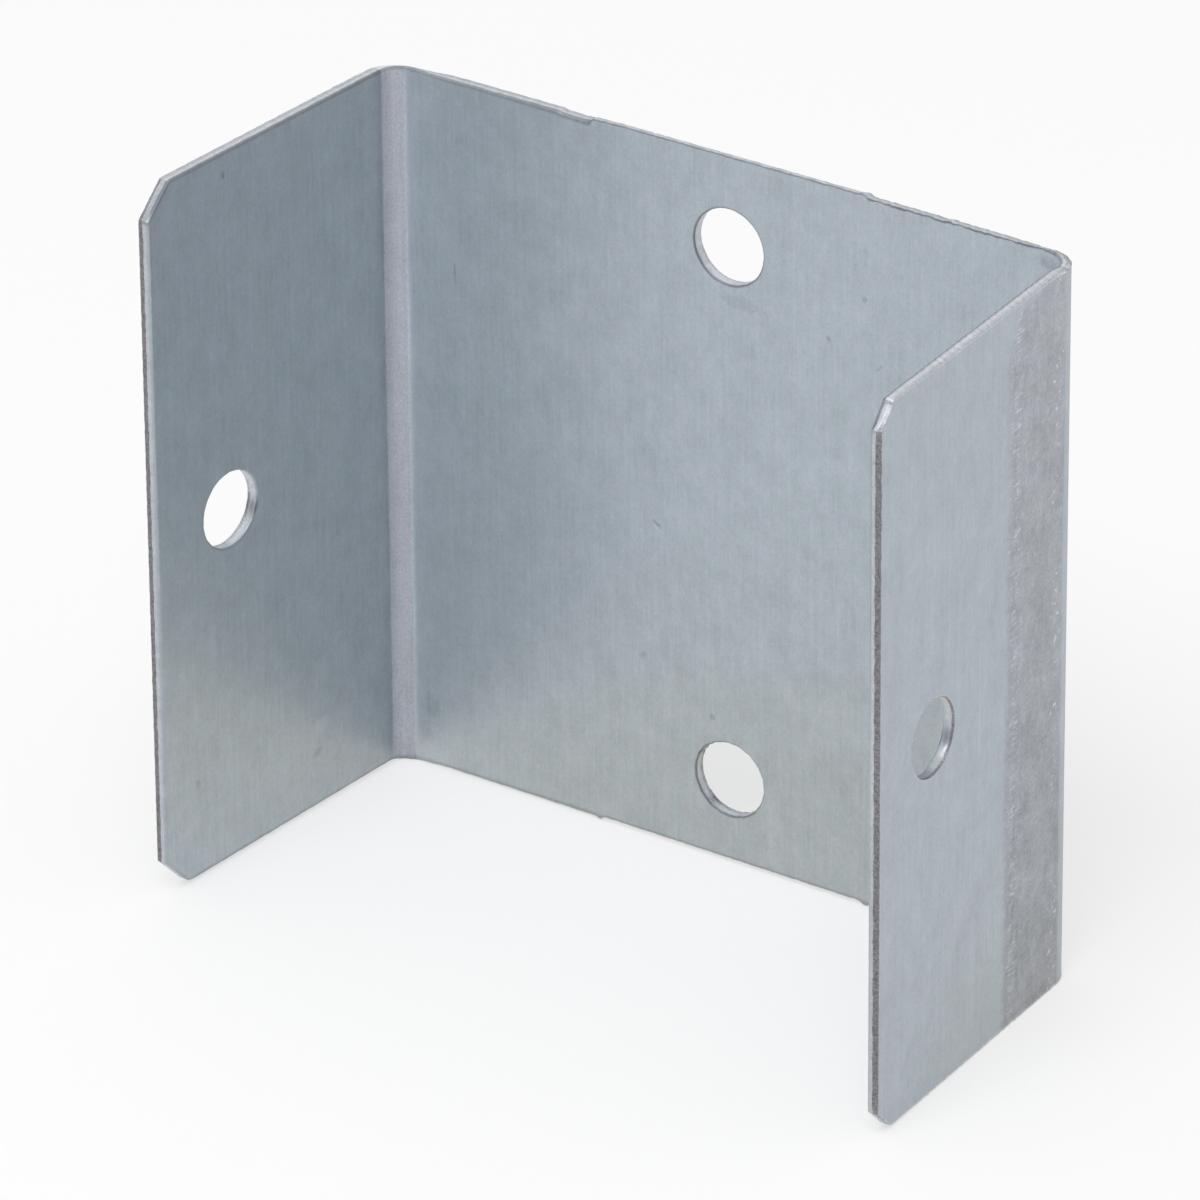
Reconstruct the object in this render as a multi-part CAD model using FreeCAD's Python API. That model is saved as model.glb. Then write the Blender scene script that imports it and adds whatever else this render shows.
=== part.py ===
# Fence panel bracket: one folded piece of galvanised sheet steel, a web with a flange on each side.
# Millimetres. +Z is up, +X is to the right as seen from the open side, and the open side faces -Y.
# The origin is on the back face, in the middle of the web's width and height.

import FreeCAD
import Part
import math
import os

# Overall size
HEIGHT = 50.0          # along Z
WIDTH = 52.6           # across the back, between the points where the outside faces would meet
DEPTH = 24.9           # flange length, from that meeting point to the free edge
THICK = 0.8            # sheet thickness

# Folds
BEND_R_IN = 1.4        # inside radius of each fold
SPLAY = 3.4            # degrees each flange leans outwards past square

# Free corners of the flanges, cut off at 45 degrees and not quite alike
CORNER_TOP_L = 2.15    # each measured along both edges
CORNER_TOP_R = 1.4
CORNER_LOW_L = 2.3
CORNER_LOW_R = 1.6
CORNER_R_TOP = 0.45    # rounding where each cut meets the top edge
CORNER_R_LOW = 0.85    # the same at the bottom edge

# Punched holes, all of one size
HOLE_D = 5.2
WEB_EDGE = 6.0         # from each web hole's centre to the top or bottom edge
FLANGE_EDGE = 6.85     # from each flange hole's centre to the free edge, before the shift below
SHIFT = 0.35           # the holes sit this far to the right of the folds, along the flat sheet

# Drawn-in edge that the punch leaves on the inside face
ROLL_EDGE = 0.28       # round the outline
ROLL_HOLE = 0.16       # round the holes

BEND_R_OUT = BEND_R_IN + THICK
HALF_W = WIDTH / 2
HALF_H = HEIGHT / 2
SPLAY_RAD = math.radians(SPLAY)


def vec(x, y, z=0.0):
    return FreeCAD.Vector(x, y, z)


def along(side):
    """Direction from the fold to the free edge of a flange; side is -1 for left and 1 for right."""
    return vec(side * math.sin(SPLAY_RAD), -math.cos(SPLAY_RAD))


def inward(side):
    """Direction from the outside face of a flange to its inside face."""
    return vec(-side * math.cos(SPLAY_RAD), -math.sin(SPLAY_RAD))


def on_flange(side, run, depth, z=0.0):
    """Point on a flange: run along it from the corner, depth in from the outside face."""
    return vec(side * HALF_W, 0, z) + along(side) * run + inward(side) * depth


# The fold turns through 90 degrees less the splay. Its centre is one outside radius in from both
# outside faces, and the straight parts start where they touch the arc.
TURN = math.pi / 2 - SPLAY_RAD
TANGENT = BEND_R_OUT * math.tan(TURN / 2)


def fold(side, radius):
    """Ends and middle of the fold's arc at a radius: web end, middle, flange end."""
    centre = vec(side * (HALF_W - TANGENT), -BEND_R_OUT)
    to_web = vec(0, 1)
    to_flange = inward(side) * -1
    to_middle = (to_web + to_flange).normalize()
    return [centre + d * radius for d in (to_web, to_middle, to_flange)]


def profile():
    """Closed section of the folded sheet, in the plane z = 0."""
    outer_l, outer_r = fold(-1, BEND_R_OUT), fold(1, BEND_R_OUT)
    inner_l, inner_r = fold(-1, BEND_R_IN), fold(1, BEND_R_IN)
    end_lo, end_li = on_flange(-1, DEPTH, 0), on_flange(-1, DEPTH, THICK)
    end_ro, end_ri = on_flange(1, DEPTH, 0), on_flange(1, DEPTH, THICK)
    return Part.Wire([
        Part.makeLine(end_lo, outer_l[2]),
        Part.Arc(*reversed(outer_l)).toShape(),
        Part.makeLine(outer_l[0], outer_r[0]),
        Part.Arc(*outer_r).toShape(),
        Part.makeLine(outer_r[2], end_ro),
        Part.makeLine(end_ro, end_ri),
        Part.makeLine(end_ri, inner_r[2]),
        Part.Arc(*reversed(inner_r)).toShape(),
        Part.makeLine(inner_r[0], inner_l[0]),
        Part.Arc(*inner_l).toShape(),
        Part.makeLine(inner_l[2], end_li),
        Part.makeLine(end_li, end_lo),
    ])


def corner_cut(side, end, size):
    """Prism that takes off one free corner of a flange; end is -1 for the bottom and 1 for the top."""
    over = 1.0
    run = [DEPTH - size - over, DEPTH + over, DEPTH + over]
    up = [HALF_H + over, HALF_H + over, HALF_H - size - over]
    points = [on_flange(side, r, -over, end * z) for r, z in zip(run, up)]
    face = Part.Face(Part.makePolygon(points + points[:1]))
    return face.extrude(inward(side) * (THICK + 2 * over))


def web_holes():
    """Centres of the web holes on the back face."""
    height = HALF_H - WEB_EDGE
    return [vec(SHIFT, 0, z) for z in (-height, height)]


def flange_hole(side):
    """Centre of a flange hole on the outside face."""
    return on_flange(side, DEPTH - FLANGE_EDGE + side * SHIFT, 0)


def punch(centre, direction):
    """Cylinder of the hole's size through the sheet."""
    return Part.makeCylinder(HOLE_D / 2, THICK + 2, centre - direction, direction)


def on_inside(point):
    """True when a point is on the inside face of the web, of a fold or of a flange."""
    close = 1e-4
    side = 1 if point.x > 0 else -1
    centre = fold(side, 0)[0]
    from_centre = vec(point.x - centre.x, point.y - centre.y)
    in_web = abs(point.y + THICK) < close and abs(point.x) < abs(centre.x) + close
    in_fold = abs(from_centre.Length - BEND_R_IN) < close and from_centre.y > -close
    from_corner = vec(point.x, point.y) - vec(side * HALF_W, 0)
    in_flange = abs(from_corner.dot(inward(side)) - THICK) < close
    return in_web or in_fold or in_flange


def whole_edge_inside(edge):
    """True when an edge runs along the inside face and doesn't cross the sheet or follow a fold line."""
    points = [edge.valueAt(edge.FirstParameter + (edge.LastParameter - edge.FirstParameter) * k / 4)
              for k in range(5)]
    return all(on_inside(p) for p in points)


def is_fold_line(edge):
    """True for the upright seam between a flat and a fold."""
    low, high = edge.BoundBox.ZMin, edge.BoundBox.ZMax
    middle = edge.CenterOfMass
    side = 1 if middle.x > 0 else -1
    run = (vec(middle.x, middle.y) - vec(side * HALF_W, 0)).dot(along(side))
    return high - low > HEIGHT / 2 and run < DEPTH / 2


blank = Part.Face(profile()).extrude(vec(0, 0, HEIGHT))
blank.translate(vec(0, 0, -HALF_H))

corners = {(-1, 1): CORNER_TOP_L, (1, 1): CORNER_TOP_R, (-1, -1): CORNER_LOW_L, (1, -1): CORNER_LOW_R}
for (side, end), size in corners.items():
    blank = blank.cut(corner_cut(side, end, size))

# Each cut corner is rounded where it meets the top or bottom edge.
for end, radius in ((1, CORNER_R_TOP), (-1, CORNER_R_LOW)):
    rounded = []
    for edge in blank.Edges:
        box = edge.BoundBox
        level = box.ZMax - box.ZMin < 1e-6 and abs(box.ZMax - end * HALF_H) < 1e-6
        across = abs(edge.Length - THICK) < 1e-6
        if level and across:
            rounded.append(edge)
    blank = blank.makeFillet(radius, rounded)

# The outline is cut from the inside face, so that side of every edge is drawn in.
outline = [e for e in blank.Edges if whole_edge_inside(e) and not is_fold_line(e)]
bracket = blank.makeFillet(ROLL_EDGE, outline)

for centre in web_holes():
    bracket = bracket.cut(punch(centre, vec(0, -1)))
for side in (-1, 1):
    bracket = bracket.cut(punch(flange_hole(side), inward(side)))

rims = [e for e in bracket.Edges
        if isinstance(e.Curve, Part.Circle) and abs(e.Curve.Radius - HOLE_D / 2) < 1e-6
        and whole_edge_inside(e)]
bracket = bracket.makeFillet(ROLL_HOLE, rims)

if len(bracket.Solids) != 1 or not bracket.isValid():
    raise SystemExit("the bracket is not one valid solid")

os.makedirs("parts", exist_ok=True)
bracket.Solids[0].exportStep("parts/bracket.step")
box = bracket.BoundBox
print("bracket: %.2f x %.2f x %.2f mm, %.1f mm3, %d faces, %d rims, %d outline edges" % (
    box.XLength, box.YLength, box.ZLength, bracket.Volume, len(bracket.Faces), len(rims), len(outline)))
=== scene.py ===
import math
import bpy
import numpy as np
from mathutils import Matrix, Vector


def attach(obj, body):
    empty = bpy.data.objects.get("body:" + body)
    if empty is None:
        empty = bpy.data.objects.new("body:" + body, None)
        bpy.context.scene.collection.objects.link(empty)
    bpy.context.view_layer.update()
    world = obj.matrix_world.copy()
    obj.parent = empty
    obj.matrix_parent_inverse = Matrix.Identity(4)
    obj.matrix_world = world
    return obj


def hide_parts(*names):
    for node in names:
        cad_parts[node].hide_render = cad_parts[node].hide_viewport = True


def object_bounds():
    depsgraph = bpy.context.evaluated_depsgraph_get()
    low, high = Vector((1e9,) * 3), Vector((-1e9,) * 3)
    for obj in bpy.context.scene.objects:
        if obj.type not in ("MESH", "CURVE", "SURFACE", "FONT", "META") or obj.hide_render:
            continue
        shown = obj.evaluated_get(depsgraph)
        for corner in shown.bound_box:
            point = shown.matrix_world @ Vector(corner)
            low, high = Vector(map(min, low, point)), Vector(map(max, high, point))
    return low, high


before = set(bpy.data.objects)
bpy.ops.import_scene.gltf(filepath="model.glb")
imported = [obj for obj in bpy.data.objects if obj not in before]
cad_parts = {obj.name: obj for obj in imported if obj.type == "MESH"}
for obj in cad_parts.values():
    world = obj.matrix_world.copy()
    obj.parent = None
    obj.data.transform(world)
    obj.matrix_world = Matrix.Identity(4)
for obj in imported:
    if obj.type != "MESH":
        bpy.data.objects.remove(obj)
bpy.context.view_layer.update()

MM = 0.001            # one millimetre in metres

# Sizes of the folded sheet in millimetres, as in the part's source
HEIGHT = 50.0
WIDTH = 52.6
DEPTH = 24.9
THICK = 0.8
BEND_R = 1.4
SPLAY = math.radians(3.4)
HOLE_R = 2.6
WEB_HOLE_UP = 19.0
FLANGE_EDGE = 6.85
SHIFT = 0.35
CORNER_CUTS = {(-1, 1): 2.15, (1, 1): 1.4, (-1, -1): 2.3, (1, -1): 1.6}
CORNER_R = {1: 0.45, -1: 0.85}    # at the top and at the bottom

# The same sheet laid flat. Across it u runs from -REACH to REACH, v is height, and w is depth from
# the inside face. The line 0.4 of the way through the sheet keeps its length in a fold.
TURN = math.pi / 2 - SPLAY
R_OUT = BEND_R + THICK
TANGENT = R_OUT * math.tan(TURN / 2)
FLAT = WIDTH / 2 - TANGENT
R_KEPT = BEND_R + 0.4 * THICK
ARC = TURN * R_KEPT
FOLD_END = FLAT + ARC
REACH = FOLD_END + DEPTH - TANGENT
HALF_H = HEIGHT / 2
THINNED = 0.17        # share of its thickness that the sheet loses in the middle of a fold
HOLES = {
    "web_low": (SHIFT, -WEB_HOLE_UP),
    "web_high": (SHIFT, WEB_HOLE_UP),
    "left": (-(REACH - FLANGE_EDGE - SHIFT), 0.0),
    "right": (REACH - FLANGE_EDGE + SHIFT, 0.0),
}
PARTED = (-10.15, 10.75)    # stretch of the web's edges that was cut last, with another tool
PARTED_PROUD = 0.285        # how far its top edge stands out, at u = 0
PARTED_SHORT = 0.165        # how far its bottom edge is cut back
RIGHT_PROUD = 0.34          # how far the top of the right flange stands out, next to the fold

# Nicks and burrs on the top and bottom edges, each as its place across, its half width and its height
TOP_NICKS = ((10.35, 0.2, 0.07), (16.1, 0.3, -0.05), (16.8, 0.3, 0.05))
LOW_NICKS = ((-10.0, 0.2, 0.08), (10.7, 0.22, 0.2))

# How rough each punch was, how much painted shade its drawn-in edge carries, how far zinc was smeared over
# its wall, and the stretches of its wall that are darkened, partly by marks on it and partly by a painted
# dark reflection, each as its middle and half width in degrees round the hole
HOLE_WEAR = {
    "web_low": (4.0, 0.85, 0.7, ((150, 9), (235, 8))),
    "web_high": (1.2, 0.85, 1.0, ()),
    "left": (2.6, 0.4, 0.9, ((-18, 15),)),
    "right": (1.0, 0.2, 0.25, ((-152, 18), (-62, 18))),
}

# Band on the outside of each flange that the folding die wiped: its start and end past the fold, and
# the height that it reaches at places across it
WIPED = (0.25, 7.3)
WIPED_TOP = ((0.0, 25.5), (5.8, 24.6), (7.3, 22.6))

# Small marks on the inside face, each as its place across and up the flat sheet, its size both ways,
# its turn in degrees and how much it darkens the zinc
MARKS = (
    (-42.4, 23.5, 0.22, 0.30, 0, 0.30),      # dent by the left flange's top
    (-46.4, -18.2, 0.25, 0.30, 0, 0.16),
    (-34.4, -21.0, 0.50, 0.30, 20, 0.14),    # stain
    (-34.1, -19.1, 0.90, 0.50, 0, -0.08),    # polished spot
    (-23.3, -20.6, 0.70, 0.90, 10, 0.14),    # smudge beside the fold
    (-20.9, 11.4, 0.10, 0.80, 2, 0.22),      # scratches
    (-5.2, -2.1, 0.42, 0.13, -35, 0.26),
    (-5.3, -2.35, 0.40, 0.08, -35, -0.12),
    (11.8, 13.7, 0.36, 0.10, 50, 0.22),
    (-1.0, -14.8, 0.20, 0.22, 0, 0.28),      # pits
    (7.9, 14.7, 0.16, 0.18, 0, 0.25),
    (10.6, 18.1, 0.22, 0.24, 0, 0.22),
    (-6.4, -11.9, 0.30, 0.26, 30, 0.14),
    (1.2, 15.3, 1.50, 0.50, 0, 0.10),        # smudge under the top hole
    # Painted shade, not a mark on the zinc:
    (24.3, 24.2, 0.90, 0.50, -20, 0.20),     # shade inside the right fold's top
)

# Mesh of the sheet: cell sizes, and how much finer the edges' own sections are
CELL_U, CELL_V, CELL_FOLD = 0.42, 0.6, 0.22
FINER_OUTLINE, FINER_HOLE = 3, 2
RIM = 0.5             # strip along the outline that the edge's section replaces
HOLE_RIM = 0.35       # the same round a hole
BOX = 3.7             # half of the square that the rings round a hole fill
CORNER_CELLS = (9, 6)    # cells of a corner's block both ways, as many as corner_lines has steps
FACES = (("inside", 0.0), ("outside", THICK))    # each face with its depth


def wander(s, length, seed):
    """Smooth irregular line between about -1 and 1: four sines of unrelated wavelengths, near length and
    under it, with phases from seed."""
    total = np.zeros_like(np.asarray(s, float))
    for k, (stretch, share) in enumerate(((1.0, 0.45), (0.618, 0.3), (0.387, 0.2), (0.251, 0.15))):
        total += share * np.sin(2 * math.pi * s / (length * stretch) + seed * 2.399 + k * 1.7)
    return total


def bump(s, centre, half):
    """Bell that is 1 at centre and falls to 0.37 its half width away."""
    return np.exp(-((s - centre) / half) ** 2)


def step(s, at, soft):
    """Smooth step from 0 to 1 at a place, over about twice soft."""
    return 0.5 + 0.5 * np.tanh((s - at) / soft)


def facing(share):
    """1 where an edge faces a direction squarely, from that direction's share of its outward line."""
    return step(share, 0.9, 0.03)


def fold_up(u, v, w):
    """Point of the folded sheet for a point of the flat one. The web stays put. Past it the point turns
    about the fold's axis, at the inside radius plus its depth, by its distance over the radius of the
    line that keeps its length, and past the fold it runs straight out along the splayed flange. In a
    fold the depth shrinks by a half sine, because the outside is drawn thin there."""
    side, far = np.sign(u), np.abs(u)
    turn = np.clip((far - FLAT) / R_KEPT, 0, TURN)
    run = np.maximum(far - FOLD_END, 0)
    radius = BEND_R + w * (1 - THINNED * np.sin(math.pi * turn / TURN))
    x = side * (np.minimum(far, FLAT) + np.sin(turn) * radius + run * math.sin(SPLAY))
    y = -R_OUT + np.cos(turn) * radius - run * math.cos(SPLAY)
    return np.stack(np.broadcast_arrays(x, y, v), -1)


def spread(stops, sizes):
    """Grid lines that include every stop, with cells of about the given size between each two."""
    parts = [np.linspace(a, b, max(2, round((b - a) / size)) + 1)[:-1]
             for a, b, size in zip(stops, stops[1:], sizes)]
    return np.concatenate(parts + [[stops[-1]]])


def corner_lines(cut, rounding, across, up):
    """Inset line and true outline round a cut corner, from the top edge to the free edge, as distances
    short of the square corner. The cut is a 45 degree line, and an arc rounds its upper end."""
    def path(size, radius, off):
        """One of the lines, for its size of cut and radius of rounding. Its ends reach off further."""
        lead = radius * math.tan(math.pi / 8)
        turned = np.linspace(0, math.pi / 4, 5)
        arc = np.stack([size + lead - radius * np.sin(turned), radius - radius * np.cos(turned)], -1)
        start = np.linspace([across + off, 0], arc[0], 3)[:-1]
        slope = np.linspace(arc[-1], [0, size], 8)[1:]
        end = np.linspace([0, size], [0, up + off], 3)[1:]
        return np.concatenate([start, arc, slope, end])
    inset = path(cut - RIM * (2 - math.sqrt(2)), 0.12, 0.0)
    outline = path(cut, rounding, RIM)
    return inset, outline


def blend_patch(top, right, bottom, left):
    """Coons patch: the sum of the two ruled surfaces between opposite sides, less the bilinear one
    through the corners."""
    a = np.linspace(0, 1, len(top))[:, None, None]
    b = np.linspace(0, 1, len(right))[None, :, None]
    ruled_v = (1 - b) * bottom[:, None] + b * top[:, None]
    ruled_u = (1 - a) * left[None] + a * right[None]
    corners = ((1 - a) * (1 - b) * bottom[0] + a * (1 - b) * bottom[-1]
               + (1 - a) * b * top[0] + a * b * top[-1])
    return ruled_v + ruled_u - corners


def flat_grid():
    """Grid over the flat sheet, inset by the edge strip, and the true outline next to its border.
    The four corner blocks are blended into the cut corners."""
    left, right = HOLES["left"][0], HOLES["right"][0]
    u = spread([-(REACH - RIM), left - BOX, left + BOX, -FOLD_END, -FLAT, SHIFT - BOX, SHIFT + BOX,
                FLAT, FOLD_END, right - BOX, right + BOX, REACH - RIM],
               [CELL_U] * 3 + [CELL_FOLD] + [CELL_U] * 3 + [CELL_FOLD] + [CELL_U] * 3)
    v = spread([-(HALF_H - RIM), -WEB_HOLE_UP - BOX, -WEB_HOLE_UP + BOX, -BOX, BOX, WEB_HOLE_UP - BOX,
                WEB_HOLE_UP + BOX, HALF_H - RIM], [CELL_V] * 7)
    ends_u, ends_v = (np.eye(1, n, n - 1)[0] - np.eye(1, n, 0)[0] for n in (len(u), len(v)))
    inset = np.stack(np.meshgrid(u, v, indexing="ij"), -1)
    outline = inset + RIM * np.stack(np.meshgrid(ends_u, ends_v, indexing="ij"), -1)
    nu, nv = CORNER_CELLS
    for (side, end), cut in CORNER_CUTS.items():
        cols = np.arange(nu, -1, -1) if side < 0 else np.arange(len(u) - 1 - nu, len(u))
        rows = np.arange(nv, -1, -1) if end < 0 else np.arange(len(v) - 1 - nv, len(v))
        across, up = abs(u[cols[-1]] - u[cols[0]]), abs(v[rows[-1]] - v[rows[0]])
        line_in, line_out = corner_lines(cut, CORNER_R[end], across, up)
        sign = np.array([side, end])
        place_in = sign * (np.array([REACH - RIM, HALF_H - RIM]) - line_in)
        place_out = sign * (np.array([REACH, HALF_H]) - line_out)
        bottom = np.stack([u[cols], np.full(nu + 1, v[rows[0]])], -1)
        middle = np.stack([np.full(nv + 1, u[cols[0]]), v[rows]], -1)
        inset[np.ix_(cols, rows)] = blend_patch(place_in[:nu + 1], place_in[nu:][::-1], bottom, middle)
        outline[cols, rows[-1]] = place_out[:nu + 1]
        outline[cols[-1], rows] = place_out[nu:][::-1]
    return u, v, inset, outline


def border(nu, nv):
    """Grid indices of the border, once round, anticlockwise as seen from inside the bracket."""
    i = np.concatenate([np.arange(nu), np.full(nv, nu), np.arange(nu, 0, -1), np.zeros(nv, int)])
    j = np.concatenate([np.zeros(nu, int), np.arange(nv), np.full(nu, nv), np.arange(nv, 0, -1)])
    return i, j


def finer(ring, k):
    """Closed ring with each of its straight steps cut in k."""
    share = np.arange(k)[None, :, None] / k
    return (ring[:, None] * (1 - share) + np.roll(ring, -1, 0)[:, None] * share).reshape(-1, ring.shape[1])


def outline_wear(place, outward):
    """How far the cut outline stands off its nominal line, outwards, in mm, at the inside and outside
    faces. On the web the stretch that was parted last stands higher at the top and is cut back at the
    bottom, and its ends leave a nick and a burr. The blank is a little out of square, and the right
    flange's top stands proud of the web's. Beside each fold the outside of the edge is pulled in and the
    inside is squeezed out."""
    u, v = place[..., 0], place[..., 1]
    far = np.abs(u)
    top, low = facing(outward[..., 1]), facing(-outward[..., 1])
    level = top + low
    before, after = 1 - step(u, PARTED[0], 0.1), step(u, PARTED[1], 0.1)
    middle = 1 - before - after
    slope_after = 0.05 + 0.085 * (1 - step(u, FLAT, 0.8)) - 0.004 * (np.minimum(u, FOLD_END) - PARTED[1])
    right_flange = step(u, FOLD_END + 0.7, 0.8) * (RIGHT_PROUD - 0.004 * (u - FOLD_END))
    long_nick = 0.12 * bump(u, -11.3, 1.9) * step(u, -12.6, 0.12)
    off_top = (0.04 * before + middle * (PARTED_PROUD + 0.003 * u) + after * slope_after + right_flange
               - long_nick + sum(height * bump(u, at, half) for at, half, height in TOP_NICKS))
    toward_fold = np.clip((REACH - far) / (REACH - FOLD_END), 0, 1) * step(far, FOLD_END - 0.6, 0.5)
    off_low = (-0.025 - PARTED_SHORT * step(u, PARTED[0] + 0.45, 0.1) * (1 - after)
               + toward_fold * np.where(u < 0, -0.1, 0.17)
               + sum(height * bump(u, at, half) for at, half, height in LOW_NICKS))
    ragged = (0.010 * wander(u + 1.3 * v, 2.3, 1)
              + (0.008 + (0.010 * middle + 0.026 * after) * level) * wander(u - 1.7 * v, 0.74, 5))
    off = ragged + top * off_top + low * off_low
    inner = off + level * (0.13 + 0.1 * low) * bump(far, FLAT + 0.3, 1.6)
    outer = off - level * np.where(u < 0, 0.22, 0.12) * bump(far, FLAT - 0.1, 2.1)
    return inner, outer


def edge_section(roll, drawn, burnish, taper, burr, torn_rows, dark, pale, stained=0.0):
    """Section of a cut edge for each point along it, as inset from the outline and depth from the inside
    face, with masks for its zones. A quarter ellipse is the drawn-in edge. Then come a straight
    burnished band, a torn band that leans back and is roughened by torn_rows, and last a small burr.
    Dark is the painted shade on the drawn-in edge, pale says how far zinc was smeared over the cut, and
    stained how dark its burnish starts."""
    rows, zones = [], []

    def add(inset, depth, rolled=0.0, bright=0.0, torn=0.0, smeared=1.0):
        rows.append(np.stack([inset + 0 * roll, depth + 0 * roll], -1))
        zones.append(np.stack([mask + 0 * roll for mask in (rolled, bright, torn, pale * smeared)], -1))
    # The drawn-in edge takes painted shade, as strong as dark.
    for k, a in enumerate(np.linspace(0, math.pi / 2, 7)):
        add(roll * (1 - math.sin(a)), drawn * (1 - math.cos(a)), rolled=dark * min(1.0, 0.5 * k) * (k < 6),
            bright=0.5 * (k == 6) * (1 - stained))
    add(0.0, 0.5 * (drawn + burnish), rolled=0.8 * stained, bright=1 - 0.8 * stained)
    add(0.0, burnish, rolled=0.4 * stained, bright=1 - 0.4 * stained)
    for k, ragged in zip((0.1, 0.36, 0.66, 0.9), torn_rows):
        add(taper * k + ragged * math.sin(math.pi * k), burnish + (THICK - burnish) * k, torn=1.0,
            smeared=1.0 if k < 0.3 else 0.85)
    add(taper + 0.004, THICK + burr, bright=0.6, torn=0.3, smeared=0.7)
    add(taper + 0.05, THICK + 0.3 * burr, bright=0.8)
    add(taper + 0.12, THICK)
    return np.stack(rows), zones


class Builder:
    """Collects points of the flat sheet with their zone masks, and the faces between them."""

    def __init__(self):
        self.points, self.masks, self.faces, self.total = [], [], {3: [], 4: []}, 0

    def put(self, place, depth, zone=(0.0, 0.0, 0.0, 0.0)):
        """Adds points and returns their numbers in the mesh."""
        depth = np.broadcast_to(np.asarray(depth, float), place.shape[:-1])
        flat = np.concatenate([place, depth[..., None]], -1).reshape(-1, 3)
        self.points.append(flat)
        self.masks.append(np.broadcast_to(np.asarray(zone, float), (len(flat), 4)))
        self.total += len(flat)
        return np.arange(self.total - len(flat), self.total).reshape(place.shape[:-1])

    def join(self, a, b):
        """Quads between two closed rings, which go round a forwards and round b backwards."""
        self.faces[4].append(np.stack([a, np.roll(a, -1), np.roll(b, -1), b], -1))

    def stitch(self, fine, coarse, forwards):
        """Triangles between a closed ring and one with several times fewer points. They go round the
        fine ring forwards, or else backwards."""
        k = len(fine) // len(coarse)
        middle = (k + 1) // 2
        after = np.roll(coarse, -1)
        ring = np.append(fine, fine[0])
        made = [np.stack([ring[j:-1:k], ring[j + 1::k], coarse if j < middle else after], -1)
                for j in range(k)]
        made.append(np.stack([ring[middle:-1:k] if middle < k else ring[k::k], after, coarse], -1))
        self.faces[3].append(np.concatenate(made)[:, ::1 if forwards else -1])


def outline_section(place, outward):
    """Edge section round the outline. Where the web was parted last the top is hardly drawn in. Right of
    that it is torn the most, and left of it the drawn-in edge widens towards it as a wedge. The bottom
    edge is drawn in more, and the cut corners carry smeared zinc over their stained burnish. Over the
    right fold the edge is given painted shade: less pale zinc and a darker burnish. The drawn-in edge's
    painted shade is set for each stretch by how it faces."""
    along = np.concatenate([[0], np.cumsum(np.linalg.norm(np.diff(place, axis=0), axis=1))])
    (across, up), (out_u, out_v) = place.T, outward.T
    level, low_edge, left_end, right_end = (facing(s) for s in (np.abs(out_v), -out_v, -out_u, out_u))
    on_top = out_v > 0.9
    cut_corner = 1 - step(np.abs(np.abs(out_u) - np.abs(out_v)), 0.5, 0.1)
    low_corner = cut_corner * (out_v < 0)
    middle = level * (step(across, PARTED[0], 0.12) - step(across, PARTED[1], 0.12))
    after = on_top * step(across, PARTED[1], 0.12) * (1 - step(across, FLAT, 0.8))
    proud = (out_v > 0.3) * step(across, FOLD_END + 0.7, 0.8) * (1 - step(out_u, 0.85, 0.05))
    # Painted shade on the edge over the right fold.
    over_fold_shade = bump(across, 0.5 * (FLAT + FOLD_END), 1.2)
    deeper = np.maximum(proud, cut_corner)
    wedge = (np.clip((across + 18.5) / 8.2, 0, 1) ** 1.5 * on_top
             * (1 - step(across, PARTED[0] - 0.1, 0.08)))
    return edge_section(
        roll=(0.25 - 0.18 * middle * (1 - low_edge) - 0.15 * after + 0.2 * wedge - 0.05 * cut_corner
              + 0.2 * low_edge + (0.02 + 0.05 * after) * wander(along, 3.1, 3)),
        drawn=(0.19 - 0.12 * middle - 0.1 * after + 0.12 * wedge + 0.13 * deeper
               + 0.015 * wander(along, 2.3, 4)),
        burnish=(0.37 - 0.08 * middle + 0.05 * left_end + 0.2 * deeper
                 + 0.03 * wander(along, 2.7, 7) + 0.025 * wander(along, 0.9, 8)),
        taper=0.045 + 0.12 * middle + 0.1 * after + 0.012 * wander(along, 1.7, 9) - 0.02 * cut_corner,
        burr=np.maximum(0.004, 0.018 + 0.014 * wander(along, 1.1, 11)
                        + level * (0.06 * bump(across, 10.4, 0.2) + 0.03 * bump(across, -10.2, 0.3))
                        + 0.05 * right_end * step(up, 13, 2) * wander(along, 1.9, 12)),
        torn_rows=[0.016 * wander(along, 0.62 + 0.13 * k, 20 + k) for k in range(4)],
        # Painted shade on the drawn-in edge, set by how each stretch of edge faces.
        dark=(0.6 + 0.3 * after - 0.25 * low_edge + cut_corner * (0.4 - 0.5 * proud) - 0.75 * low_corner
              - 0.45 * (left_end + right_end)),
        pale=np.maximum(level * (1 - 0.25 * after - 0.7 * over_fold_shade),
                        cut_corner * (0.4 + 0.25 * proud) + 0.3 * low_corner),
        stained=(np.maximum(0.55 * middle * step(wander(along, 2.1, 15), 0.05, 0.15),
                            (0.35 + 0.35 * proud) * cut_corner - 0.25 * low_corner)
                 + 0.3 * level * over_fold_shade))


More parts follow.
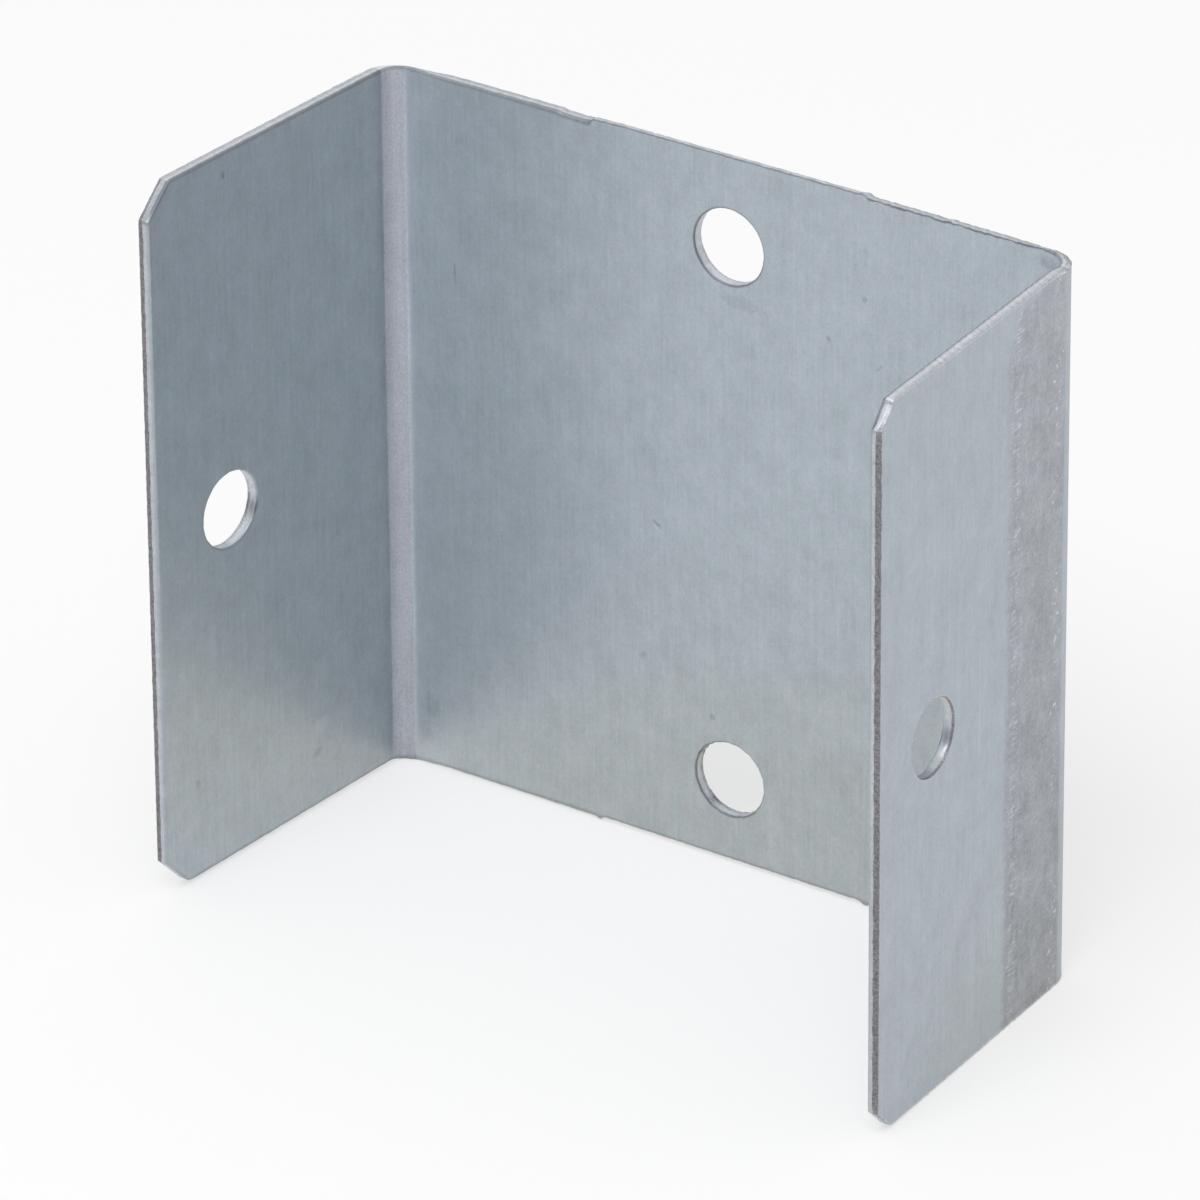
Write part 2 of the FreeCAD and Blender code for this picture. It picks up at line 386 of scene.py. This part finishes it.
def hole_section(angle, seed, wear, dark, pale, smudges_and_reflections):
    """Edge section round a hole, at each angle. A rough punch leaves less burnish and a coarser tear. The
    drawn-in edge carries painted shade, darkest at the lower left, and a smudge, partly a mark on the wall
    and partly a painted dark reflection, covers the whole section."""
    s = angle * HOLE_R
    smudge = 0 * angle
    # These darkened stretches are partly marks on the wall and partly painted dark reflection.
    for at, half in smudges_and_reflections:
        smudge += bump((np.degrees(angle) - at + 180) % 360 - 180, 0, half)
    return edge_section(
        roll=0.17 + 0.025 * wander(s, 2.1, seed + 1),
        drawn=0.12 + 0.015 * wander(s, 1.7, seed + 2),
        burnish=(0.68 - 0.05 * wear + 0.04 * wander(s, 4.1, seed + 3)
                 + 0.018 * wear * wander(s, 0.8, seed + 4)),
        taper=0.035 + 0.012 * wander(s, 2.2, seed + 5),
        burr=0.016 + 0.012 * np.abs(wander(s, 1.2, seed + 6)),
        torn_rows=[0.018 * wear * wander(s, 0.6 + 0.15 * k, seed + 10 + k) for k in range(4)],
        # Painted shade on the drawn-in edge, darkest at the lower left.
        dark=np.maximum(dark * (0.65 - 0.35 * np.cos(angle - math.radians(35))), smudge),
        pale=pale * (1 - 0.95 * smudge),
        stained=smudge)


def add_outline(made, faces, inset, outline):
    """Carries the edge section round the outline, and joins it to the borders of both faces. The wear
    passes from its inside to its outside value through the sheet, and fades out inwards."""
    i, j = border(*(n - 1 for n in inset.shape[:2]))
    edge_in, edge_out = finer(inset[i, j], FINER_OUTLINE), finer(outline[i, j], FINER_OUTLINE)
    outward = edge_out - edge_in
    length = np.linalg.norm(outward, axis=1)[:, None]
    outward /= length
    wear_in, wear_out = outline_wear(edge_out, outward)
    rings = []
    for row, zone in zip(*outline_section(edge_out, outward)):
        share = np.clip(row[:, 1] / THICK, 0, 1)
        off = (wear_in * (1 - share) + wear_out * share) * np.clip(1 - row[:, 0] / RIM, 0, 1)
        place = edge_out - outward * (length / RIM * row[:, :1] - off[:, None])
        rings.append(made.put(place, row[:, 1], zone))
    for a, b in zip(rings, rings[1:]):
        made.join(b, a)
    made.stitch(rings[0], faces["inside"][i, j], True)
    made.stitch(rings[-1], faces["outside"][i, j], False)


def add_hole(made, faces, inset, square, centre, seed, wear):
    """Fills a hole's square on both faces with rings that go from the square to the circle, and carries
    the edge section round the hole between them."""
    i0, i1, j0, j1 = square
    i, j = border(i1 - i0, j1 - j0)
    i, j = i + i0, j + j0
    sides = [i1 - i0, j1 - j0, i1 - i0, j1 - j0]
    angle = np.concatenate([math.pi / 2 * (k - 1.5 + np.arange(m) / m) for k, m in enumerate(sides)])
    ray = np.stack([np.cos(angle), np.sin(angle)], -1)
    last = {}
    for face, depth in FACES:
        ring = faces[face][i, j]
        for ease in np.linspace(0, 1, 6)[1:] ** 0.8:
            place = (1 - ease) * inset[i, j] + ease * (centre + ray * (HOLE_R + HOLE_RIM))
            inner = made.put(place, depth)
            made.join(*((ring, inner) if face == "inside" else (inner, ring)))
            ring = inner
        last[face] = ring
    turned = np.append(angle, angle[0] + 2 * math.pi)
    angle = np.interp(np.arange(len(angle) * FINER_HOLE) / FINER_HOLE, np.arange(len(turned)), turned)
    ray = np.stack([np.cos(angle), np.sin(angle)], -1)
    s = angle * HOLE_R
    off = (0.012 * wander(s, 5.1, seed) + 0.007 * wear[0] * wander(s, 0.9, seed + 20))[:, None]
    rings = [made.put(centre + ray * (HOLE_R + row[:, :1] + off), row[:, 1], zone)
             for row, zone in zip(*hole_section(angle, seed, *wear))]
    for a, b in zip(rings, rings[1:]):
        made.join(a, b)
    made.stitch(rings[0], last["inside"], False)
    made.stitch(rings[-1], last["outside"], True)


def sheet_points():
    """Closed surface of the sheet, still flat. Both faces are the flat grid, at depth 0 and at full
    depth, with a square left open at each hole. The outline's section and the holes fill the rest."""
    u, v, inset, outline = flat_grid()
    made = Builder()
    taken = np.zeros(inset.shape[:2], bool)            # grid points inside a hole's square
    whole = np.ones((len(u) - 1, len(v) - 1), bool)    # cells outside every square
    squares = {}
    for key, (cu, cv) in HOLES.items():
        i0, i1 = (int(np.argmin(abs(u - c))) for c in (cu - BOX, cu + BOX))
        j0, j1 = (int(np.argmin(abs(v - c))) for c in (cv - BOX, cv + BOX))
        taken[i0 + 1:i1, j0 + 1:j1] = True
        whole[i0:i1, j0:j1] = False
        squares[key] = (i0, i1, j0, j1)
    faces = {}
    for face, depth in FACES:
        grid = np.full(inset.shape[:2], -1)
        grid[~taken] = made.put(inset[~taken], depth)
        faces[face] = grid
        cell = np.stack([grid[:-1, :-1], grid[1:, :-1], grid[1:, 1:], grid[:-1, 1:]], -1)[whole]
        made.faces[4].append(cell if face == "inside" else cell[:, ::-1])
    add_outline(made, faces, inset, outline)
    for n, (key, centre) in enumerate(HOLES.items()):
        add_hole(made, faces, inset, squares[key], np.array(centre), 31 + 7 * n, HOLE_WEAR[key])
    return made


def finish_values(flat, masks):
    """What the finish needs to know at each point: the zones of the cut edges, how far the fold has worked
    it, painted shade along the line that the fold starts from, how deep it lies in the band that the die
    wiped, where that band is frayed or flecked, how far down it lies, which darkens the wiped band towards
    the bottom, and painted light on the web beside the left fold with painted shade on the flange past it."""
    u, v, w = flat.T
    far = np.abs(u)
    inside, outside = w < 0.1, w > 0.9 * THICK
    past = far - FOLD_END
    below = np.interp(past, *zip(*WIPED_TOP)) - v
    wiped = np.minimum(np.minimum(3 * (past - WIPED[0]), WIPED[1] - past), 2 * below)
    around = (far - FLAT) / ARC
    before_fold = np.exp(np.minimum(far - FLAT, 0) / 3.2)
    after_fold = np.exp(-np.maximum(past, 0) / 2.5)
    return {
        "rolled": masks[:, 0],
        "bright": masks[:, 1],
        "torn": masks[:, 2],
        "pale": masks[:, 3],
        "worked": np.clip(np.minimum(around / 0.4, (1 - around) / 0.1), 0, 1),
        # Painted shade along the inside of each fold, where the fold hides the light.
        "crease_shade": inside * bump(far, FOLD_END + 0.15, 0.3),
        "wiped": np.where(outside, np.maximum(wiped, -3), -3),
        "frayed": outside * bump(far, FOLD_END + WIPED[1] - 1.0, 1.2),
        "flecked": outside * bump(far, FOLD_END + WIPED[0] + 0.9, 0.7),
        # Darkens the wiped band towards the bottom.
        "pressed": np.clip(0.5 - v / HEIGHT, 0, 1),
        # Painted light on the web beside the left fold, and painted shade on the left flange past it.
        "beside": inside * (u < 0) * np.where(far < FLAT + 0.5, before_fold, -0.4 * after_fold),
    }


def sheet_mesh(name):
    """Mesh of the folded sheet: every point of the flat one is folded up, and keeps its place on the flat
    sheet and the finish's values as attributes."""
    made = sheet_points()
    flat, masks = np.concatenate(made.points), np.concatenate(made.masks)
    folded = fold_up(*flat.T) * MM
    sizes = np.concatenate([np.full(sum(len(f) for f in made.faces[k]), k) for k in (3, 4)])
    corners = np.concatenate([np.concatenate(made.faces[k]).ravel() for k in (3, 4)])
    mesh = bpy.data.meshes.new(name)
    mesh.vertices.add(len(folded))
    mesh.vertices.foreach_set("co", folded.astype(np.float32).ravel())
    mesh.loops.add(len(corners))
    mesh.loops.foreach_set("vertex_index", corners.astype(np.int32))
    mesh.polygons.add(len(sizes))
    mesh.polygons.foreach_set("loop_start", (np.cumsum(sizes) - sizes).astype(np.int32))
    mesh.update(calc_edges=True)
    mesh.polygons.foreach_set("use_smooth", np.ones(len(sizes), bool))
    sheet = mesh.attributes.new("sheet", "FLOAT_VECTOR", "POINT")
    sheet.data.foreach_set("vector", flat.astype(np.float32).ravel())
    for label, numbers in finish_values(flat, masks).items():
        mesh.attributes.new(label, "FLOAT", "POINT").data.foreach_set("value", numbers.astype(np.float32))
    mesh.validate()
    return mesh


def linear(code):
    """sRGB hex to linear colour."""
    parts = [int(code[k:k + 2], 16) / 255 for k in (1, 3, 5)]
    return [c / 12.92 if c <= 0.04045 else ((c + 0.055) / 1.055) ** 2.4 for c in parts] + [1.0]


def node(tree, kind, inputs=None, **settings):
    """Adds a node, sets its properties, and sets or links its inputs."""
    made = tree.nodes.new(kind)
    for key, value in settings.items():
        setattr(made, key, value)
    for key, value in (inputs or {}).items():
        if isinstance(value, bpy.types.NodeSocket):
            tree.links.new(value, made.inputs[key])
        else:
            made.inputs[key].default_value = value
    return made


# Patterns of the finish, as the size in mm of one patch across and along the rolling direction, which is
# upright, the number of finer copies in it and their strength, and its dimensions: the 3D ones also
# change through the sheet. The grain and the rolling lines are really about 0.05 mm apart, and are
# drawn at twice that or more, so that they show.
PATTERNS = {
    "cloud": (2.6, 3.6, 4.0, 0.9, "2D"),     # how the zinc froze, down to what is left of its spangle
    "line": (0.32, 12.0, 2.0, 0.9, "2D"),    # rolling lines
    "grain": (0.13, 0.17, 1.0, 0.8, "3D"),   # the skin's own grain
    "drag": (1.3, 0.13, 2.0, 0.8, "2D"),     # scratches of the wiping die, which run across the flange
    "smear": (0.9, 1.3, 3.0, 0.85, "2D"),    # blotches in the wiped band and on the cut edges
    "speck": (0.36, 0.42, 1.0, 0.6, "3D"),   # flecks of loose zinc
}
THROUGH = 0.2    # size of a patch through the sheet, in mm

# Values worked out from the patterns, the marks and the mesh's own attributes, each as a start and then
# the share of every term. A term may be a product. With a range, the sum is taken along a smooth step
# from the range's first end to its second.
RECIPE = {
    "smeared": (0.0, {"torn*pale": 1.0, "bright*pale": 1.0}, None),
    "scuffed": (0.0, {"wiped": 1.0, "drag": 1.4, "grain": 1.4, "smear": 1.2}, (1.8, 2.3)),
    "fold": (0.0, {"worked": 1.0, "grain": 0.5, "line": 0.5}, (0.8, 1.2)),
    "scratch": (0.0, {"drag": 1.0, "frayed": 0.26, "smear": 0.6}, (1.12, 1.24)),
    "fleck": (0.0, {"speck": 1.0, "flecked": 0.24, "smear": 0.7}, (1.24, 1.32)),
    "greenish": (0.0, {"smear": 1.0}, (0.5, 0.78)),
    "pinkish": (0.0, {"smear": 1.0}, (0.5, 0.22)),
    "dark": (0.0, {"speck": -1.0, "smear": -0.5}, (-0.45, -0.38)),
    # In the tone the beside term is painted light and shade, and the crease term is painted shade.
    "tone": (0.59, {"cloud": 0.4, "line": 0.18, "grain": 0.26,
                    "fold*grain": 0.3, "fold": -0.05, "beside": 0.21, "crease_shade": -0.13,
                    "scuffed*smear": 0.35, "scuffed*drag": 0.3, "scuffed*cloud": 0.42,
                    "scuffed*grain": 0.25, "scuffed": -0.49, "scuffed*pressed": -0.2,
                    "scuffed*scratch": 0.42, "scuffed*fleck": 0.6, "dark": -0.06, "mark": -1.0,
                    "torn*grain": 1.4, "torn": -0.7, "torn*pale*grain": -1.2, "torn*pale": 0.6,
                    "bright*speck": 0.4, "bright": -0.2}, None),
    "metallic": (0.6, {"fold": -0.45, "bright": 0.3, "bright*pale": -0.5, "scuffed": -0.1,
                        "rolled": -0.2}, None),
    "roughness": (0.33, {"cloud": 0.06, "fold": 0.14, "torn": 0.17, "rolled": 0.12, "bright": -0.1,
                         "bright*pale": 0.25, "scuffed": 0.06}, None),
    "micrometres": (0.0, {"grain": 2.0, "worked*grain": 6.0, "torn*grain": 20.0}, None),
}

MICROMETRE = 1e-6    # in metres, as the relief's steps

# The zinc's own colour, and those laid over it in this order, each where its value is 1
BARE_ZINC = "#afb8c0"
COATS = (
    ("greenish", "#acbabf"),   # faint hues of the zinc
    ("pinkish", "#b2b6c1"),
    ("fold", "#b2b5bf"),       # crazed zinc
    ("scuffed", "#a1a5ac"),    # wiped zinc
    # The drawn-in edge's coat is painted shade.
    ("rolled", "#6c7078"),     # drawn-in edge
    ("bright", "#b9bcc3"),     # burnished steel
    ("torn", "#7f7e82"),       # torn steel
    ("smeared", "#d2d6dc"),    # zinc smeared over both
)


def marks_shade(tree, place, grain):
    """Sum of the small marks' shades. Each is an ellipse round its place, with an edge that the grain
    makes ragged."""
    total = 0.0
    for across, up, wide, high, turn, share in MARKS:
        spot = node(tree, "ShaderNodeMapping", {
            "Vector": place, "Location": (across, up, 0.0), "Rotation": (0, 0, math.radians(turn)),
            "Scale": (wide, high, 0.2)}, vector_type="TEXTURE").outputs[0]
        far = node(tree, "ShaderNodeVectorMath", {0: spot}, operation="LENGTH").outputs["Value"]
        ragged = node(tree, "ShaderNodeMath", {0: grain, 1: 1.2, 2: far}, operation="MULTIPLY_ADD")
        shade = node(tree, "ShaderNodeMapRange", {0: ragged.outputs[0], 1: 1.1, 2: 1.9, 3: share, 4: 0.0},
                     interpolation_type="SMOOTHSTEP").outputs[0]
        total = node(tree, "ShaderNodeMath", {0: shade, 1: total}).outputs[0]
    return total


def work_out(tree, value, start, terms, ends):
    """One value of the recipe, from the values that are there so far."""
    total = start
    for term, share in terms.items():
        first, *others = term.split("*")
        product = value[first]
        for other in others:
            product = node(tree, "ShaderNodeMath", {0: product, 1: value[other]},
                           operation="MULTIPLY").outputs[0]
        total = node(tree, "ShaderNodeMath", {0: product, 1: share, 2: total},
                     operation="MULTIPLY_ADD").outputs[0]
    if ends:
        total = node(tree, "ShaderNodeMapRange", {0: total, 1: ends[0], 2: ends[1]},
                     interpolation_type="SMOOTHSTEP").outputs[0]
    return total


def pregalvanised_steel():
    """Strip that was hot-dipped in zinc with its spangle held small, and rolled smooth: a satin
    blue-grey metal with faint upright lines and soft clouds. It is dull enough that part of its light
    is scattered. Its cut edges show bare steel, bright where the blade burnished it and dull brownish
    grey where it tore. The zinc on the folds is crazed and paler, and the folding die has left a warm
    grey scuffed band beside each fold."""
    steel = bpy.data.materials.new("pregalvanised_steel")
    steel.use_nodes = True
    tree = steel.node_tree
    tree.nodes.clear()
    place = node(tree, "ShaderNodeAttribute", attribute_name="sheet").outputs["Vector"]
    value = {}
    for label in ("rolled", "bright", "torn", "pale", "worked", "crease_shade", "wiped", "frayed", "flecked",
                  "pressed", "beside"):
        value[label] = node(tree, "ShaderNodeAttribute", attribute_name=label).outputs["Fac"]
    for k, (label, (across, along, copies, strength, kind)) in enumerate(PATTERNS.items()):
        spot = node(tree, "ShaderNodeMapping", {"Vector": place, "Location": (3.7 * k, 9.1 * k, 0.3),
                                                "Scale": (1 / across, 1 / along, 1 / THROUGH)}).outputs[0]
        value[label] = node(tree, "ShaderNodeTexNoise", {"Vector": spot, "Scale": 1.0, "Detail": copies,
                                                         "Roughness": strength},
                            noise_dimensions=kind).outputs["Fac"]
    value["mark"] = marks_shade(tree, place, value["grain"])
    for label, (start, terms, ends) in RECIPE.items():
        value[label] = work_out(tree, value, start, terms, ends)
    colour = linear(BARE_ZINC)
    for label, code in COATS:
        colour = node(tree, "ShaderNodeMix", {0: value[label], 6: colour, 7: linear(code)},
                      data_type="RGBA").outputs[2]
    shaded = node(tree, "ShaderNodeVectorMath", {0: colour, "Scale": value["tone"]}, operation="SCALE")
    relief = node(tree, "ShaderNodeBump", {"Height": value["micrometres"], "Distance": MICROMETRE,
                                           "Strength": 1.0})
    surface = node(tree, "ShaderNodeBsdfPrincipled", {
        "Base Color": shaded.outputs[0], "Metallic": value["metallic"], "Roughness": value["roughness"],
        "Normal": relief.outputs[0]})
    node(tree, "ShaderNodeOutputMaterial", {"Surface": surface.outputs[0]})
    return steel


mesh = sheet_mesh("folded_sheet")
bracket = bpy.data.objects.new("folded_sheet", mesh)
bpy.context.scene.collection.objects.link(bracket)
mesh.materials.append(pregalvanised_steel())
triangles = len(mesh.loops) - 2 * len(mesh.polygons)
print("folded_sheet: %d points, %d triangles" % (len(mesh.vertices), triangles))

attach(bracket, "root")
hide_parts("bracket")

# Floor, light and camera
WHITE_SHARE = 0.55            # part of the paper that is plain white where it is seen
# Painted warm light in the metal's reflection of the paper near the bracket:
PAINTED_WARM_NEAR = (0.012, 0.045)    # how far from the bracket's middle it looks warm in the metal, in metres


def white_paper():
    """Matt white paper. Seen by the camera or in the metal it is partly a plain white of strength 1. Close
    to the bracket it is painted warm where the metal reflects it: a painted reflection that stands in for
    the light going to and fro between the two."""
    paper = bpy.data.materials.new("white_paper")
    paper.use_nodes = True
    tree = paper.node_tree
    tree.nodes.clear()
    matt = node(tree, "ShaderNodeBsdfDiffuse", {"Color": linear("#f4f4f4")}).outputs[0]
    path = node(tree, "ShaderNodeLightPath").outputs
    place = node(tree, "ShaderNodeTexCoord").outputs["Object"]
    far = node(tree, "ShaderNodeVectorMath", {0: place}, operation="LENGTH").outputs["Value"]
    # Painted warm tint, for glossy rays only, near the bracket.
    near = node(tree, "ShaderNodeMapRange", {0: far, 1: PAINTED_WARM_NEAR[0], 2: PAINTED_WARM_NEAR[1],
                                             3: path["Is Glossy Ray"], 4: 0.0},
                interpolation_type="SMOOTHSTEP").outputs[0]
    shown = node(tree, "ShaderNodeMix", {0: near, 6: linear("#ffffff"), 7: linear("#fff5db")},
                 data_type="RGBA").outputs[2]
    white = node(tree, "ShaderNodeEmission", {"Color": shown, "Strength": 1.0}).outputs[0]
    seen = node(tree, "ShaderNodeMath", {0: path["Is Camera Ray"], 1: path["Is Glossy Ray"]},
                operation="MAXIMUM").outputs[0]
    share = node(tree, "ShaderNodeMath", {0: seen, 1: WHITE_SHARE}, operation="MULTIPLY").outputs[0]
    lit = node(tree, "ShaderNodeMixShader", {0: share, 1: matt, 2: white}).outputs[0]
    node(tree, "ShaderNodeOutputMaterial", {"Surface": lit})
    return paper


bpy.ops.mesh.primitive_plane_add(size=6.0, location=(0, 0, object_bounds()[0].z))
floor = bpy.context.object
floor.name = "floor"
floor.data.materials.append(white_paper())

# The room is dim near the horizon and bright overhead, as round a product table: each of the two as
# the height on a sphere of radius 1 where it starts, and its strength.
HORIZON, OVERHEAD = (0.3, 0.4), (0.8, 0.85)
world = bpy.data.worlds.new("studio")
bpy.context.scene.world = world
world.use_nodes = True
tree = world.node_tree
tree.nodes.clear()
direction = node(tree, "ShaderNodeTexCoord").outputs["Generated"]
height = node(tree, "ShaderNodeSeparateXYZ", {0: direction}).outputs["Z"]
glow = node(tree, "ShaderNodeMapRange", {0: height, 1: HORIZON[0], 2: OVERHEAD[0], 3: HORIZON[1],
                                         4: OVERHEAD[1]}, interpolation_type="SMOOTHSTEP").outputs[0]
sky = node(tree, "ShaderNodeBackground", {"Color": (1, 1, 1, 1), "Strength": glow}).outputs[0]
node(tree, "ShaderNodeOutputWorld", {"Surface": sky})


MIDDLE = Vector((0, -0.012, 0))    # of the bracket, in metres


def lamp(name, place, size, power):
    """Soft rectangular lamp that looks at the middle of the bracket, with metres and watts."""
    data = bpy.data.lights.new(name, "AREA")
    data.shape, data.size, data.size_y, data.energy = "RECTANGLE", size[0], size[1], power
    made = bpy.data.objects.new(name, data)
    made.location = place
    made.rotation_euler = (MIDDLE - Vector(place)).to_track_quat("-Z", "Y").to_euler()
    bpy.context.scene.collection.objects.link(made)


lamp("front", (0.1, -0.55, 0.85), (0.7, 0.5), 5.0)

# The camera stands where the photo's outline and hole rims put it.
FRAME_SIDE = 1200             # pixels
FOCAL = 10611.3               # in the same pixels
EYE = Vector((339.26, -497.48, 306.71))
TRIM = (0.0084, -0.0124, 0.0019)    # small turns off the line to the origin, in radians
camera = bpy.data.objects.new("camera", bpy.data.cameras.new("camera"))
bpy.context.scene.collection.objects.link(camera)
back = EYE.normalized()
right = Vector((0, 0, 1)).cross(back).normalized()
aim = Matrix((right, back.cross(right), back))
about_x, about_y, about_z = (Matrix.Rotation(angle, 3, axis) for angle, axis in zip(TRIM, "XYZ"))
trim = about_x @ about_y @ about_z
camera.matrix_world = Matrix.Translation(EYE * MM) @ (trim @ aim).transposed().to_4x4()
camera.data.lens = FOCAL / FRAME_SIDE * camera.data.sensor_width
camera.data.clip_start, camera.data.clip_end = 0.01, 20
bpy.context.scene.camera = camera
bpy.context.scene.view_settings.view_transform = "Standard"
